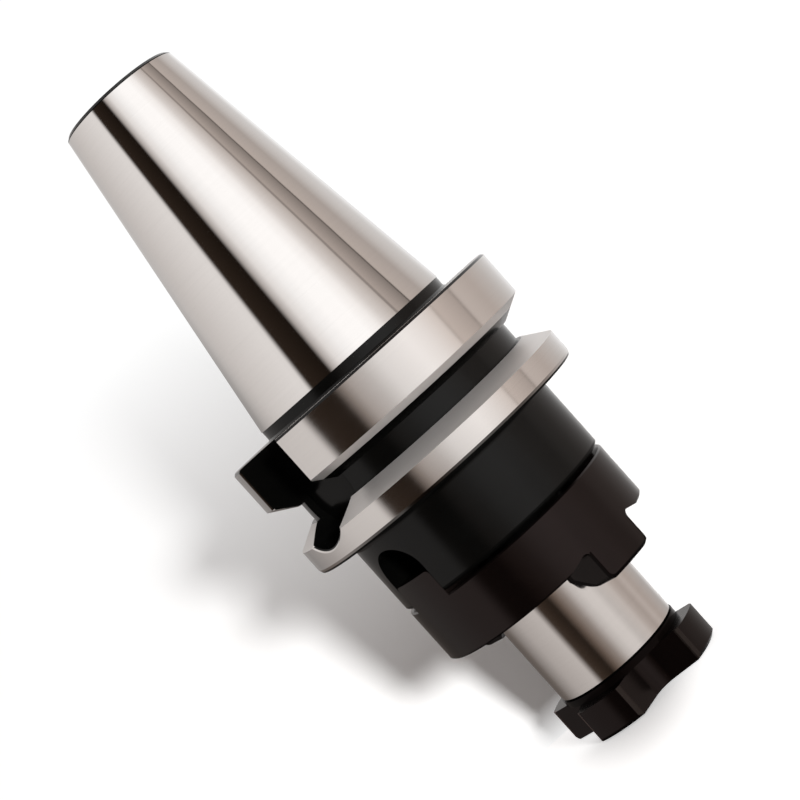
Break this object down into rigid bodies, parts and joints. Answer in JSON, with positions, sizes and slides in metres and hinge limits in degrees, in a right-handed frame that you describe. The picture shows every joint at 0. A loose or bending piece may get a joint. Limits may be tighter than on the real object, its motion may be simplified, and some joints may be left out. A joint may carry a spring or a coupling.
{
  "type": "milling arbor",
  "caption": "Steep-taper milling arbor with a gripper flange, a slotted collar, a loose driving ring with lugs and a lobed cutter screw.",
  "frame": {"origin": "centre of the flat front of the cutter screw's head, on which the arbor stands", "axes": "+Z along the arbor's axis towards the small end of the taper; X through the two key slots, Y through the two driving lugs"},
  "size_m": [0.063, 0.063, 0.1499],
  "materials": {
    "arbor_steel": "satin",
    "ring_steel": "satin",
    "screw_steel": "satin"
  },
  "bodies": {
    "arbor": {"arbor_body": "arbor_steel"},
    "ring": {"driving_ring": "ring_steel"},
    "screw": {"retaining_screw": "screw_steel"}
  },
  "joints": [
    {"name": "ring_slide", "type": "slide", "parent": "arbor", "child": "ring", "axis": [0, 0, -1], "range_m": [-0.0007, 0.0159]},
    {"name": "screw_out", "type": "slide", "parent": "arbor", "child": "screw", "axis": [0, 0, -1], "range_m": [0, 0.032]}
  ]
}
